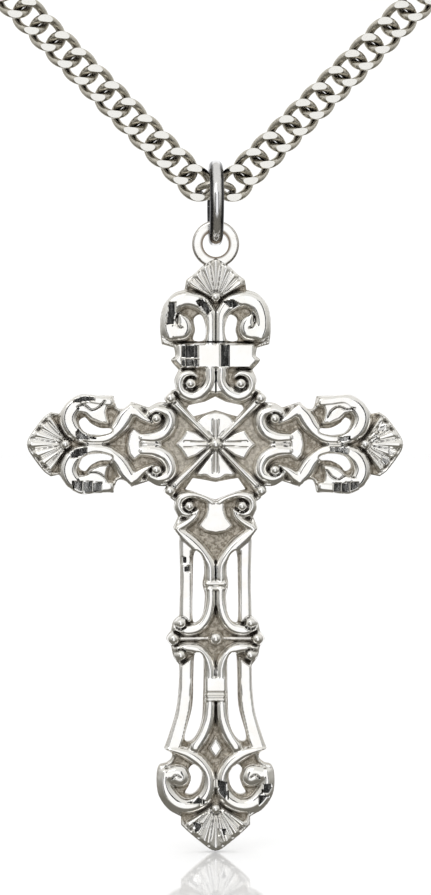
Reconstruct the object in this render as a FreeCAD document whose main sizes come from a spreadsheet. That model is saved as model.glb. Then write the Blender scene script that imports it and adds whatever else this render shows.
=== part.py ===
import FreeCAD, Part
import math
import os
import Sketcher

# Cross pendant on its jump ring, hanging from the lowest stretch of a curb chain.
# X runs across the cross, +Z is up and the front of the cross faces -Y.
# The origin is halfway between the two ends of the chain, where it is held.

Vector = FreeCAD.Vector
Rotation = FreeCAD.Rotation
Placement = FreeCAD.Placement

os.makedirs("parts", exist_ok=True)
doc = FreeCAD.newDocument("cross_pendant")

# ---------------------------------------------------------------- driving sizes (mm)
SIZES = [
    ("links_per_side", 13, "curb links on each side of the pendant"),
    ("link_pitch", 2.0, "distance from one link to the next"),
    ("link_wire", 0.72, "diameter of the link wire"),
    ("link_half_length", 1.38, "centreline, along the chain"),
    ("link_half_width", 1.13, "centreline, across the chain"),
    ("link_twist", 0.47, "how far the link's corners leave its plane"),
    ("link_grind", 0.17, "depth of the ground flats"),
    ("apex_wire", 0.6, "diameter of the lowest link's wire"),
    ("apex_half_length", 1.5, "centreline of the lowest link, along X"),
    ("apex_half_width", 1.13, "centreline of the lowest link, across"),
    ("apex_tilt", 65.0, "degrees the lowest link leans back"),
    ("apex_reach", 1.70, "from the lowest link's centre to its neighbour, along X"),
    ("apex_rise", 0.62, "from the lowest link's centre to its neighbour, along Z"),
    ("jump_wire", 1.2, "diameter of the jump ring's wire"),
    ("jump_outer", 7.4, "outer diameter of the jump ring"),
    ("jump_drop", 1.08, "from the lowest link's centre to the jump ring's centre"),
    ("loop_outer", 4.05, "outer diameter of the hanging loop"),
    ("loop_hole", 2.24, "diameter of the loop's hole"),
    ("loop_thick", 1.1, "thickness of the loop"),
    ("loop_round", 0.22, "rounding of the loop's outer edges"),
    ("loop_height", 17.15, "loop's hole above the crossing of the arms"),
    ("plate_back", 0.85, "flat back of the casting, along Y"),
    ("plate_front", -0.15, "floor of the recesses, along Y"),
    ("strap_front", -0.85, "front of the straps, along Y"),
    ("bead_front", -0.55, "centre of the beads, along Y"),
    ("end_ring_wire", 0.6, "diameter of the chain's end rings"),
    ("end_ring_outer", 4.4, "outer diameter of the chain's end rings"),
    ("end_ring_roll", 10.0, "degrees the end rings are turned about the slope of the chain"),
    ("clasp_length", 9.0, "length of the clasp's body"),
    ("clasp_width", 4.4, "width of the clasp's body"),
    ("clasp_thick", 1.8, "thickness of the clasp's body"),
    ("clasp_eye_thick", 0.8, "thickness of the clasp's eye"),
    ("clasp_opening", 2.3, "width of the clasp's opening"),
    ("lever_width", 1.0, "width of the clasp's lever"),
    ("lever_thick", 0.8, "thickness of the clasp's lever"),
    ("lever_slot", 1.2, "width of the slot that the lever sits in"),
    ("clasp_pin_dia", 0.5, "diameter of the lever's pin"),
    ("clasp_spring_wire", 0.12, "diameter of the lever spring's wire"),
    ("running_gap", 0.04, "clearance round the pin"),
    ("tag_length", 6.0, "length of the flat tag"),
    ("tag_width", 3.4, "width of the flat tag"),
    ("tag_thick", 0.8, "thickness of the flat tag"),
    ("eye_hole", 1.9, "diameter of the holes in the tag and of the clasp's eye"),
]
sheet = doc.addObject("Spreadsheet::Sheet", "sizes")
for row, (alias, value, meaning) in enumerate(SIZES, start=1):
    sheet.set(f"A{row}", alias)
    sheet.set(f"B{row}", str(value))
    sheet.set(f"C{row}", meaning)
    sheet.setAlias(f"B{row}", alias)
doc.recompute()


def size(alias):
    """The value of one cell of the sheet."""
    return float(getattr(sheet, alias))


subparts = []


def keep(obj, label):
    """Names a document object as a sub-part, to be written to its own file."""
    obj.Label = label
    subparts.append(obj)
    return obj


def coded(label, shape, placement=None):
    """A sub-part whose shape is worked out in code."""
    feature = doc.addObject("Part::Feature", label)
    feature.Shape = shape
    if placement is not None:
        feature.Placement = placement
    return keep(feature, label)


# ---------------------------------------------------------------- places worked out from the sizes
DIAGONAL = size("link_pitch") / math.sqrt(2)
LINKS = int(size("links_per_side"))
END_RING_CENTRELINE = (size("end_ring_outer") - size("end_ring_wire")) / 2
LINK_GAP = 0.04
EYE_PLAY = 0.16
# distances up the slope of the chain, from the centre of the last link
RING_CENTRE = (size("link_half_length") - (size("link_wire") + size("end_ring_wire")) / 2 - LINK_GAP
               + END_RING_CENTRELINE)
RING_FAR_SIDE = RING_CENTRE + END_RING_CENTRELINE
EYE = RING_FAR_SIDE + (size("eye_hole") - size("end_ring_wire")) / 2 - EYE_PLAY
APEX_Z = -(size("apex_rise") + (LINKS - 1) * DIAGONAL + EYE / math.sqrt(2))
JUMP_Z = APEX_Z - size("jump_drop")
JUMP_CENTRELINE = (size("jump_outer") - size("jump_wire")) / 2
JUMP_FOOT_Z = JUMP_Z - JUMP_CENTRELINE
LOOP_PLAY = 0.1
LOOP_Z = JUMP_FOOT_Z + size("jump_wire") / 2 + LOOP_PLAY - size("loop_hole") / 2
CROSS_Z = LOOP_Z - size("loop_height")


# ---------------------------------------------------------------- curb links
def closed_tube(curve, wire):
    """Round wire bent along a closed curve: two open lengths, joined."""
    first, last = curve.FirstParameter, curve.LastParameter
    middle = (first + last) / 2
    halves = []
    for start, end in ((first, middle), (middle, last)):
        spine = Part.Wire(curve.toShape(start, end))
        section = Part.Circle(curve.value(start), Vector(*curve.tangent(start)[0]), wire / 2)
        halves.append(spine.makePipeShell([Part.Wire(section.toShape())], True, False))
    return halves[0].fuse(halves[1]).removeSplitter().Solids[0]


def curb_link(hand):
    """One twisted link in its own frame: X along the chain, Z out of its face. hand is 1 or -1."""
    half_length, half_width = size("link_half_length"), size("link_half_width")
    twist, wire = size("link_twist"), size("link_wire")
    steps = 24
    points = []
    for step in range(steps):
        turn = 2 * math.pi * step / steps
        points.append(Vector(half_length * math.cos(turn), half_width * math.sin(turn),
                             -hand * twist * math.sin(2 * turn)))
    curve = Part.BSplineCurve()
    curve.interpolate(Points=points, PeriodicFlag=True)
    swept = closed_tube(curve, wire)
    face_height = twist + wire / 2 - size("link_grind")
    slab = Part.makeBox(4 * half_length, 4 * half_width, 1,
                        Vector(-2 * half_length, -2 * half_width, face_height))
    under = slab.mirror(Vector(0, 0, 0), Vector(0, 0, 1))
    return swept.cut([slab, under]).Solids[0]


def link_place(side, number):
    """Where link number 1, 2, 3 ... lies. side is -1 on the left and 1 on the right."""
    along = size("apex_reach") + (number - 1) * DIAGONAL
    up = APEX_Z + size("apex_rise") + (number - 1) * DIAGONAL
    turn = Rotation(Vector(0, 1, 0), -45 * side).multiply(Rotation(Vector(1, 0, 0), 90))
    return Placement(Vector(side * along, 0, up), turn)


for side, name in ((-1, "left"), (1, "right")):
    master = curb_link(-side)
    for number in range(1, LINKS + 1):
        coded(f"{name}_link_{number:02d}", master, link_place(side, number))


# ---------------------------------------------------------------- lowest link
lean = Rotation(Vector(1, 0, 0), size("apex_tilt") - 90)
oval = Part.Ellipse(Vector(0, 0, 0), size("apex_half_length"), size("apex_half_width"))
coded("apex_link", closed_tube(oval, size("apex_wire")), Placement(Vector(0, 0, APEX_Z), lean))


# ---------------------------------------------------------------- jump ring and end rings
SEAM = 0.02


def round_ring(name, wire, outer, placement):
    """A round wire ring in its own YZ plane, with the hairline seam where its ends meet."""
    ring = doc.addObject("Part::Torus", name + "_wire")
    ring.setExpression("Radius1", f"(sizes.{outer} - sizes.{wire}) / 2")
    ring.setExpression("Radius2", f"sizes.{wire} / 2")
    ring.Placement = Placement(Vector(0, 0, 0), Rotation(Vector(0, 1, 0), 90))
    cut = doc.addObject("Part::Box", name + "_seam")
    cut.setExpression("Length", f"sizes.{wire} * 2")
    cut.setExpression("Width", f"sizes.{wire} * 2")
    cut.Height = SEAM
    seam_y = (size(outer) - size(wire)) / 2
    cut.Placement = Placement(Vector(-size(wire), seam_y - size(wire), -SEAM / 2), Rotation())
    open_ring = doc.addObject("Part::Cut", name)
    open_ring.Base, open_ring.Tool = ring, cut
    open_ring.Placement = placement
    return keep(open_ring, name)


def slope(side, up):
    """A place on the slope of the chain, that far up from the last link."""
    along = Vector(side, 0, 1).normalize()
    return link_place(side, LINKS).Base + along * up


round_ring("jump_ring", "jump_wire", "jump_outer", Placement(Vector(0, 0, JUMP_Z), Rotation()))
for side, name in ((-1, "left"), (1, "right")):
    # the ring's plane holds the slope and nearly holds Y
    slant = Rotation(Vector(0, 1, 0), -45 * side)
    roll = Rotation(Vector(1, 0, 0), size("end_ring_roll"))
    flat = Rotation(Vector(1, 0, 0), Vector(0, 0, 1))
    round_ring(f"{name}_end_ring", "end_ring_wire", "end_ring_outer",
               Placement(slope(side, RING_CENTRE), slant.multiply(roll).multiply(flat)))


# ---------------------------------------------------------------- relief of the cross
# All of it is drawn as (x, z) points with the crossing of the arms at (0, 0). One side of the
# pendant is drawn and mirrored. A strap is a centreline and a width.
def smooth(points):
    """One smooth edge through the points."""
    curve = Part.BSplineCurve()
    curve.interpolate(Points=[Vector(x, 0, z) for x, z in points])
    return curve


def strap(points, width):
    """The outline of a strap: a smooth line to each side and a round cap at each end."""
    curve = smooth(points)
    first, last = curve.FirstParameter, curve.LastParameter
    steps = 3 * len(points)
    sides = {1: [], -1: []}
    for step in range(steps + 1):
        at = first + (last - first) * step / steps
        spot, along = curve.value(at), curve.tangent(at)[0]
        across = Vector(-along.z, 0, along.x)
        for hand in sides:
            sides[hand].append(spot + across * (hand * width / 2))
    near, far = Part.BSplineCurve(), Part.BSplineCurve()
    near.interpolate(Points=sides[1])
    far.interpolate(Points=sides[-1][::-1])
    tip = curve.value(last) + curve.tangent(last)[0] * (width / 2)
    tail = curve.value(first) - curve.tangent(first)[0] * (width / 2)
    return Part.Face(Part.Wire([near.toShape(), Part.Arc(sides[1][-1], tip, sides[-1][-1]).toShape(),
                                far.toShape(), Part.Arc(sides[-1][0], tail, sides[1][0]).toShape()]))


def polygon(points):
    """A flat face with straight sides."""
    return Part.Face(Part.makePolygon([Vector(x, 0, z) for x, z in points + points[:1]]))


def rounded(points):
    """A flat face with one smooth closed side."""
    curve = Part.BSplineCurve()
    curve.interpolate(Points=[Vector(x, 0, z) for x, z in points], PeriodicFlag=True)
    return Part.Face(Part.Wire(curve.toShape()))


def mirrored_x(points):
    return [(-x, z) for x, z in points]


def mirrored_z(points):
    return [(x, -z) for x, z in points]


# The plate's edge, right half, from the top palmette down. Each span is smooth, or straight where it
# has two points, and begins where the one before it ends.
ARM_EDGE = [
    [(4.2, 3.6), (5.0, 3.55), (5.75, 3.15)],
    [(5.75, 3.15), (7.2, 3.65)],
    [(7.2, 3.65), (7.9, 3.1), (8.45, 3.15), (8.75, 4.15)],
    [(8.75, 4.15), (10.2, 4.2), (11.6, 4.25), (12.7, 3.6), (13.4, 2.6)],
    [(13.4, 2.6), (14.1, 2.75)],
    [(14.1, 2.75), (14.8, 2.2), (15.9, 0.7), (16.15, 0)],
]
EDGE = [
    [(0, 16.05), (0.6, 15.75), (1.85, 14.6), (2.5, 14.1)],
    [(2.5, 14.1), (2.65, 13.25)],
    [(2.65, 13.25), (3.6, 12.9), (4.4, 12.0), (4.72, 10.8), (4.72, 9.6), (4.6, 8.6)],
    [(4.6, 8.6), (3.55, 8.3)],
    [(3.55, 8.3), (3.45, 7.6), (3.8, 7.2), (3.15, 6.4)],
    [(3.15, 6.4), (3.5, 5.6), (3.4, 4.75)],
    [(3.4, 4.75), (3.95, 4.5), (4.4, 4.0), (4.2, 3.6)],
] + ARM_EDGE + [mirrored_z(span)[::-1] for span in ARM_EDGE[::-1]] + [
    [(4.2, -3.6), (4.45, -4.05), (4.0, -4.5), (3.5, -4.9)],
    [(3.5, -4.9), (3.55, -5.5), (3.2, -6.2)],
    [(3.2, -6.2), (3.65, -7.2)],
    [(3.65, -7.2), (3.1, -8.0)],
    [(3.1, -8.0), (3.02, -11.5), (3.08, -14.7)],
    [(3.08, -14.7), (3.6, -15.2), (3.8, -16.0)],
    [(3.8, -16.0), (4.2, -16.65), (3.8, -17.3)],
    [(3.8, -17.3), (3.6, -18.2), (3.1, -18.9)],
    [(3.1, -18.9), (3.15, -21.0), (3.4, -23.0), (4.0, -25.0), (4.4, -26.1)],
    [(4.4, -26.1), (3.75, -26.5), (3.8, -27.0), (4.2, -27.35)],
    [(4.2, -27.35), (4.85, -27.6), (5.05, -28.6), (4.9, -30.0), (4.1, -31.2), (2.95, -31.9)],
    [(2.95, -31.9), (2.95, -32.6)],
    [(2.95, -32.6), (2.1, -33.4), (0.6, -34.6), (0, -34.85)],
]
# openings: those on the axis, then those of the upright's right half, then the arm's upper half
AXIS_WINDOWS = [
    [(0, 4.1), (0.9, 3.65), (2.3, 3.35), (2.45, 3.05), (1.9, 2.4), (1.3, 2.55), (0, 2.95),
     (-1.3, 2.55), (-1.9, 2.4), (-2.45, 3.05), (-2.3, 3.35), (-0.9, 3.65)],
    [(0, -3.25), (1.0, -3.05), (1.95, -2.9), (2.6, -3.85), (1.8, -4.05), (0.9, -4.4), (0, -4.75),
     (-0.9, -4.4), (-1.8, -4.05), (-2.6, -3.85), (-1.95, -2.9), (-1.0, -3.05)],
]
UPRIGHT_WINDOWS = [
    [(1.0, 8.95), (0.82, 10.0), (1.2, 11.1), (1.85, 10.8), (1.75, 9.8), (1.9, 8.95)],
    [(1.4, -9.3), (1.85, -9.4), (1.95, -12.0), (1.95, -15.0), (1.5, -15.2), (1.05, -14.5), (0.9, -13.0),
     (1.1, -12.0), (0.95, -11.0), (1.05, -10.0)],
    [(1.4, -17.85), (1.8, -18.1), (1.9, -20.0), (2.0, -22.5), (2.65, -25.1), (2.2, -25.5), (1.6, -24.9),
     (1.15, -23.6), (1.05, -21.5), (1.0, -19.0), (1.1, -18.2)],
    [(1.3, -27.9), (1.85, -27.45), (2.3, -27.9), (2.1, -28.6), (2.3, -29.3), (2.6, -29.9), (2.0, -30.05),
     (1.4, -29.5), (1.15, -28.6)],
]
ARM_WINDOW = [(11.7, 1.9), (11.2, 2.3), (10.7, 1.8), (9.9, 1.4), (9.05, 1.35), (9.0, 1.0), (10.0, 0.8),
              (11.2, 1.05)]

UPRIGHT_STRAPS = [
    # great scroll of the top arm and its inner curl
    ([(0.42, 9.0), (0.4, 10.4), (0.75, 11.6), (2.1, 12.6), (3.5, 12.2), (4.15, 11.0), (4.2, 9.4)], 0.75),
    ([(3.3, 11.3), (2.75, 10.7), (2.55, 9.9), (2.9, 9.3)], 0.7),
    # volute under the band
    ([(0.5, 6.2), (0.52, 5.2), (1.0, 4.4), (2.0, 4.02), (2.8, 4.4), (3.05, 5.2), (2.75, 5.8)], 0.65),
    # volute of the lower arm
    ([(0.55, -6.0), (0.6, -5.3), (1.1, -4.7), (2.0, -4.4), (2.8, -4.65), (3.1, -5.3), (2.75, -5.95)], 0.6),
    # straps to the shoulder and from it back to the stem
    ([(1.6, -5.8), (2.2, -6.5), (3.1, -7.1)], 0.6),
    ([(3.1, -7.3), (2.2, -8.0), (1.2, -8.9), (0.6, -9.9), (0.42, -11.2)], 0.65),
    # stem below the collar, opening out to the bead
    ([(0.42, -12.6), (0.45, -13.8), (0.85, -15.0), (1.7, -15.75), (2.8, -15.7)], 0.62),
    # arch below the row of beads
    ([(3.0, -17.7), (2.5, -17.3), (1.7, -17.25), (0.95, -17.8), (0.6, -18.6), (0.5, -19.8)], 0.6),
    # stem below the band, opening out to the foot
    ([(0.5, -22.3), (0.6, -23.6), (1.0, -25.0), (1.5, -26.0)], 0.7),
    # great scroll of the foot and its inner curl
    ([(4.0, -26.15), (3.0, -26.2), (1.9, -26.65), (0.9, -27.6), (0.55, -28.8), (0.8, -30.0), (1.8, -30.85),
      (3.1, -31.0), (4.2, -30.1), (4.5, -28.9), (4.4, -28.0)], 0.8),
    ([(3.7, -27.95), (3.0, -28.2), (2.75, -28.8), (3.2, -29.5)], 0.7),
    # side bars
    ([(2.52, -8.6), (2.5, -11.5), (2.5, -15.0)], 0.85),
    ([(2.55, -18.6), (2.58, -20.0), (2.8, -22.6), (3.4, -25.4)], 0.9),
]
ARM_STRAPS = [
    # volute
    ([(6.2, 0.55), (5.2, 0.55), (4.25, 0.95), (3.85, 1.9), (4.1, 2.75), (5.0, 3.05), (5.6, 2.6)], 0.62),
    # straps to the shoulder and from it round the great scroll
    ([(5.5, 1.95), (6.2, 2.35), (7.1, 3.0)], 0.6),
    ([(7.2, 2.95), (7.9, 2.2), (8.8, 1.15), (10.0, 0.52), (11.3, 0.55), (12.25, 1.1), (12.65, 2.1),
      (12.2, 3.15), (11.1, 3.7), (9.2, 3.7)], 0.72),
    # inner curl
    ([(11.6, 2.85), (10.7, 2.55), (9.4, 2.5)], 0.8),
]
ROD = ([(0.3, 0.3), (3.75, 3.77)], 0.42)
BEAM = ([(0.3, -16.65), (3.4, -16.7)], 0.3)

# beads: x, z and radius
AXIS_BEADS = [(0, 12.6, 0.4), (0, 0, 0.5), (0, -16.63, 0.55), (0, -31.15, 0.42)]
UPRIGHT_BEADS = [(2.1, 5.2, 0.47), (2.2, -5.3, 0.47), (3.0, -15.35, 0.48), (3.6, -16.65, 0.52),
                 (3.0, -18.05, 0.48), (3.87, 3.95, 0.45), (3.92, -4.0, 0.45)]
ARM_BEAD = (5.05, 2.2, 0.45)
ARM_TIP_BEAD = (12.9, 0, 0.42)

# raised flats, whole outlines
FLATS = [
    [(-3.2, 8.6), (3.2, 8.6), (3.3, 7.6), (3.6, 7.2), (3.0, 6.5), (-3.0, 6.5), (-3.6, 7.2), (-3.3, 7.6)],
    [(-0.85, -5.1), (0.85, -5.1), (1.0, -6.2), (1.55, -6.95), (0.9, -7.5), (0, -7.68), (-0.9, -7.5),
     (-1.55, -6.95), (-1.0, -6.2)],
    [(-0.72, -10.6), (0.72, -10.6), (0.74, -11.6), (1.0, -11.7), (1.0, -12.35), (0.76, -12.5),
     (0.74, -13.5), (-0.74, -13.5), (-0.76, -12.5), (-1.0, -12.35), (-1.0, -11.7), (-0.74, -11.6)],
    [(-0.85, -19.4), (0.85, -19.4), (0.9, -22.6), (-0.9, -22.6)],
    [(0, -24.9), (0.62, -26.05), (0, -27.0), (-0.62, -26.05)],
    [(0, 0.2), (1.3, 2.35), (0.7, 2.62), (0, 2.72), (-0.7, 2.62), (-1.3, 2.35)],
    [(0, -0.2), (1.3, -2.5), (0.6, -2.6), (0, -2.8), (-0.6, -2.6), (-1.3, -2.5)],
]
LEAF = [(0.2, 0), (1.8, 1.0), (2.7, 1.25), (2.6, 0.75), (3.3, 0), (2.6, -0.75), (2.7, -1.25), (1.8, -1.0)]
BELL = [(5.9, 0.6), (6.3, 0.9), (7.0, 1.42), (7.5, 0.7), (7.65, 0), (7.5, -0.7), (7.0, -1.42), (6.3, -0.9),
        (5.9, -0.6)]


def palmette(root, heading, tip, half_width, shoulder):
    """A fan of ribs, from its root bead to a pointed tip."""
    flank = [(half_width, shoulder), (0.9 * half_width, shoulder + 0.4), (0.6 * half_width, 0.66 * tip),
             (0.2 * half_width, 0.9 * tip)]
    outline = mirrored_x(flank) + [(0, 0.97 * tip)] + flank[::-1] + [(0.4, -0.2), (-0.4, -0.2)]
    angle = math.radians(heading - 90)
    cos, sin = math.cos(angle), math.sin(angle)
    return [(root[0] + x * cos - z * sin, root[1] + x * sin + z * cos) for x, z in outline]


PALMETTES = [palmette((0, 12.6), 90, 3.4, 2.5, 0.95), palmette((12.9, 0), 0, 3.2, 2.4, 1.1),
             palmette((-12.9, 0), 180, 3.2, 2.4, 1.1), palmette((0, -31.15), -90, 3.65, 2.7, 1.1)]


def plate():
    """The pierced plate, seen from the front."""
    edges = []
    for span in EDGE + [mirrored_x(span)[::-1] for span in EDGE[::-1]]:
        if len(span) == 2:
            edges.append(Part.makeLine(Vector(span[0][0], 0, span[0][1]), Vector(span[1][0], 0, span[1][1])))
        else:
            edges.append(smooth(span).toShape())
    windows = [polygon(points) for points in AXIS_WINDOWS]
    for points in UPRIGHT_WINDOWS:
        windows += [rounded(points), rounded(mirrored_x(points))]
    for half in (ARM_WINDOW, mirrored_z(ARM_WINDOW)):
        windows += [rounded(half), rounded(mirrored_x(half))]
    return Part.Face(Part.Wire(edges)).cut(windows)


def relief_faces():
    """Everything that stands on the plate with a flat front."""
    faces = [polygon(points) for points in FLATS + [LEAF, mirrored_x(LEAF), BELL, mirrored_x(BELL)]]
    faces += [polygon(points) for points in PALMETTES]
    for points, width in UPRIGHT_STRAPS + [BEAM]:
        faces += [strap(points, width), strap(mirrored_x(points), width)]
    for points, width in ARM_STRAPS + [ROD]:
        for half in (points, mirrored_z(points)):
            faces += [strap(half, width), strap(mirrored_x(half), width)]
    return faces


def all_beads():
    """Every bead of the cross, with the mirrored ones."""
    beads = AXIS_BEADS + UPRIGHT_BEADS + [(-x, z, radius) for x, z, radius in UPRIGHT_BEADS]
    x, z, radius = ARM_BEAD
    beads += [(x, z, radius), (x, -z, radius), (-x, z, radius), (-x, -z, radius)]
    x, z, radius = ARM_TIP_BEAD
    return beads + [(x, z, radius), (-x, z, radius)]


def region(spot):
    """The part of the cross that a spot lies in, so that each part is joined by itself first."""
    if abs(spot.x) > 4.3:
        return "left" if spot.x < 0 else "right"
    for name, lowest in (("top", 4.2), ("centre", -4.2), ("shaft", -14.5)):
        if spot.z > lowest:
            return name
    return "foot"


def cross_casting():
    """The cast cross: a pierced plate with straps, flats, palmettes and beads standing on it."""
    back, floor, front = size("plate_back"), size("plate_front"), size("strap_front")
    casting = plate().extrude(Vector(0, floor - back, 0))
    casting.translate(Vector(0, back, 0))
    sunk = 0.1
    raised = []
    for face in relief_faces():
        solid = face.extrude(Vector(0, front - floor - sunk, 0))
        solid.translate(Vector(0, floor + sunk, 0))
        raised.append((solid, solid.BoundBox.Center))
    for x, z, radius in all_beads():
        centre = Vector(x, size("bead_front"), z)
        raised.append((Part.makeSphere(radius, centre, Vector(0, -1, 0)), centre))
    regions = {}
    for solid, spot in raised:
        name = region(spot)
        regions[name] = regions[name].fuse(solid) if name in regions else solid
    for joined in regions.values():
        casting = casting.fuse(joined)
    return casting


casting_place = Placement(Vector(0, 0, CROSS_Z), Rotation())
casting_shape = cross_casting()
casting = coded("cross_casting", casting_shape, casting_place)


# ---------------------------------------------------------------- hanging loop
def hanging_loop():
    """A flat ring behind the top palmette, cut where it meets the casting."""
    body = doc.addObject("PartDesign::Body", "loop_body")
    plane = [o for o in body.Origin.OriginFeatures if o.Role == "XZ_Plane"][0]
    sketch = body.newObject("Sketcher::SketchObject", "loop_sketch")
    sketch.AttachmentSupport = [(plane, "")]
    sketch.MapMode = "FlatFace"
    centre, normal = Vector(0, 0, 0), Vector(0, 0, 1)
    outer = sketch.addGeometry(Part.Circle(centre, normal, size("loop_outer") / 2), False)
    hole = sketch.addGeometry(Part.Circle(centre, normal, size("loop_hole") / 2), False)
    for circle, alias in ((outer, "loop_outer"), (hole, "loop_hole")):
        sketch.addConstraint(Sketcher.Constraint("Coincident", circle, 3, -1, 1))
        index = sketch.addConstraint(Sketcher.Constraint("Diameter", circle, size(alias)))
        sketch.setExpression(f"Constraints[{index}]", f"sizes.{alias}")
    pad = body.newObject("PartDesign::Pad", "loop_pad")
    pad.Profile = sketch
    pad.Midplane = True
    pad.setExpression("Length", "sizes.loop_thick")
    doc.recompute()
    rims = [f"Edge{i}" for i, edge in enumerate(pad.Shape.Edges, start=1)
            if len(edge.Vertexes) == 1 and edge.Curve.Radius > size("loop_hole") / 2 + 0.1]
    fillet = body.newObject("PartDesign::Fillet", "loop_fillet")
    fillet.Base = (pad, rims)
    fillet.setExpression("Radius", "sizes.loop_round")
    body.Tip = fillet
    doc.recompute()
    body.Placement = Placement(Vector(0, 0, LOOP_Z), Rotation())
    doc.recompute()
    return body


loop_body = hanging_loop()
loop = doc.addObject("Part::Cut", "hanging_loop")
loop.Base, loop.Tool = loop_body, casting
keep(loop, "hanging_loop")


# ---------------------------------------------------------------- flat pieces with round ends
def stadium(name, length, width, thick, start):
    """A flat piece with round ends, from start along X. Its sizes are expressions."""
    pieces = []
    ends = {"near": f"{start} + ({width}) / 2", "far": f"{start} + ({length}) - ({width}) / 2"}
    for end, place in ends.items():
        disc = doc.addObject("Part::Cylinder", f"{name}_{end}")
        disc.setExpression("Radius", f"({width}) / 2")
        disc.setExpression("Height", thick)
        disc.setExpression("Placement.Base.x", place)
        disc.setExpression("Placement.Base.z", f"-({thick}) / 2")
        pieces.append(disc)
    bar = doc.addObject("Part::Box", f"{name}_bar")
    bar.setExpression("Length", f"({length}) - ({width})")
    bar.setExpression("Width", width)
    bar.setExpression("Height", thick)
    bar.setExpression("Placement.Base.x", f"{start} + ({width}) / 2")
    bar.setExpression("Placement.Base.y", f"-({width}) / 2")
    bar.setExpression("Placement.Base.z", f"-({thick}) / 2")
    whole = doc.addObject("Part::MultiFuse", name)
    whole.Shapes = pieces + [bar]
    whole.Refine = True
    return whole


def drill(name, diameter, depth, x, y=0.0):
    """A round tool along Z through the middle plane, with its diameter and depth as expressions."""
    tool = doc.addObject("Part::Cylinder", name)
    tool.Placement.Base = Vector(x, y, 0)
    tool.setExpression("Radius", f"({diameter}) / 2")
    tool.setExpression("Height", depth)
    tool.setExpression("Placement.Base.z", f"-({depth}) / 2")
    return tool


def block(name, x_range, y_range, z_range):
    """A plain block between three pairs of limits."""
    box = doc.addObject("Part::Box", name)
    (x0, x1), (y0, y1), (z0, z1) = x_range, y_range, z_range
    box.Length, box.Width, box.Height = x1 - x0, y1 - y0, z1 - z0
    box.Placement.Base = Vector(x0, y0, z0)
    return box


def cut_from(name, base, tools):
    """The base with every tool taken away."""
    joined = tools[0]
    if len(tools) > 1:
        joined = doc.addObject("Part::MultiFuse", name + "_tools")
        joined.Shapes = tools
    result = doc.addObject("Part::Cut", name)
    result.Base, result.Tool = base, joined
    return result


def end_place(side):
    """The frame of a chain end: its origin in the eye, X up the slope, Z to the front."""
    turn = -45 if side > 0 else -135
    rotation = Rotation(Vector(0, 1, 0), turn).multiply(Rotation(Vector(1, 0, 0), 90))
    return Placement(slope(side, EYE), rotation)


EYE_WALL = 0.6
EYE_END = -(size("eye_hole") / 2 + EYE_WALL)

# flat tag on the right: one hole for the end ring, one for the clasp
tag_body = stadium("tag_body", "sizes.tag_length", "sizes.tag_width", "sizes.tag_thick", f"{EYE_END}")
FAR_HOLE = EYE_END + size("tag_length") - EYE_WALL - size("eye_hole") / 2
tag_holes = [drill(f"tag_hole_{number}", "sizes.eye_hole", "sizes.tag_thick * 2", at)
             for number, at in enumerate((0, FAR_HOLE), start=1)]
tag = cut_from("chain_tag", tag_body, tag_holes)
tag.Placement = end_place(1)
keep(tag, "chain_tag")

# clasp on the left, drawn with X along it and the lever on its +Y side
LEVER_Y = 1.55
PIVOT_X = 1.75
LEVER_TIP = 5.9
SLOT = (1.15, 6.15)
SLOT_FLOOR = 0.6
GATE = (3.0, 5.2)
EYE_SHOULDER = 1.0
HOLLOW_START = 2.0
HOLLOW_SHORTER = 4.3
clasp_place = end_place(-1)
half_slot, half_eye = size("lever_slot") / 2, size("clasp_eye_thick") / 2
outside, above = size("clasp_width") / 2 + 0.1, size("clasp_thick")
clasp_blank = stadium("clasp_blank", "sizes.clasp_length", "sizes.clasp_width", "sizes.clasp_thick",
                      f"{EYE_END}")
clasp_tools = [
    stadium("clasp_hollow", f"sizes.clasp_length - {HOLLOW_SHORTER}", "sizes.clasp_opening",
            "sizes.clasp_thick * 2", f"{HOLLOW_START}"),
    block("lever_slot_tool", SLOT, (SLOT_FLOOR, outside), (-half_slot, half_slot)),
    block("gate_tool", GATE, (0, outside), (-above, above)),
    block("eye_front_tool", (-outside, EYE_SHOULDER), (-outside, outside), (half_eye, above)),
    block("eye_back_tool", (-outside, EYE_SHOULDER), (-outside, outside), (-above, -half_eye)),
    drill("pin_hole", "sizes.clasp_pin_dia", "sizes.clasp_thick * 2", PIVOT_X, LEVER_Y),
    drill("clasp_eye", "sizes.eye_hole", "sizes.clasp_thick * 2", 0),
]
clasp = cut_from("clasp_body", clasp_blank, clasp_tools)
lever_blank = stadium("lever_blank", f"{LEVER_TIP - PIVOT_X} + sizes.lever_width / 2", "sizes.lever_width",
                      "sizes.lever_thick", f"{PIVOT_X} - sizes.lever_width / 2")
lever_blank.Placement.Base.y = LEVER_Y
lever_bore = drill("lever_bore", "sizes.clasp_pin_dia + 2 * sizes.running_gap", "sizes.lever_thick * 2",
                   PIVOT_X, LEVER_Y)
lever = cut_from("clasp_lever", lever_blank, [lever_bore])
for piece in (clasp, lever):
    piece.Placement = clasp_place
    keep(piece, piece.Name)

# the lever's pin, and its small spring beside the lever
pin = doc.addObject("Part::Cylinder", "clasp_pin")
pin.setExpression("Radius", "sizes.clasp_pin_dia / 2")
pin.setExpression("Height", "sizes.clasp_thick")
pin_foot = Vector(PIVOT_X, LEVER_Y, -size("clasp_thick") / 2)
pin.Placement = clasp_place.multiply(Placement(pin_foot, Rotation()))
keep(pin, "clasp_pin")
spring = doc.addObject("Part::Torus", "clasp_spring")
spring.setExpression("Radius1", "sizes.clasp_pin_dia / 2 + sizes.clasp_spring_wire")
spring.setExpression("Radius2", "sizes.clasp_spring_wire / 2")
spring_place = Vector(PIVOT_X, LEVER_Y, (size("lever_thick") + size("lever_slot")) / 4)
spring.Placement = clasp_place.multiply(Placement(spring_place, Rotation()))
keep(spring, "clasp_spring")
doc.recompute()

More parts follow.
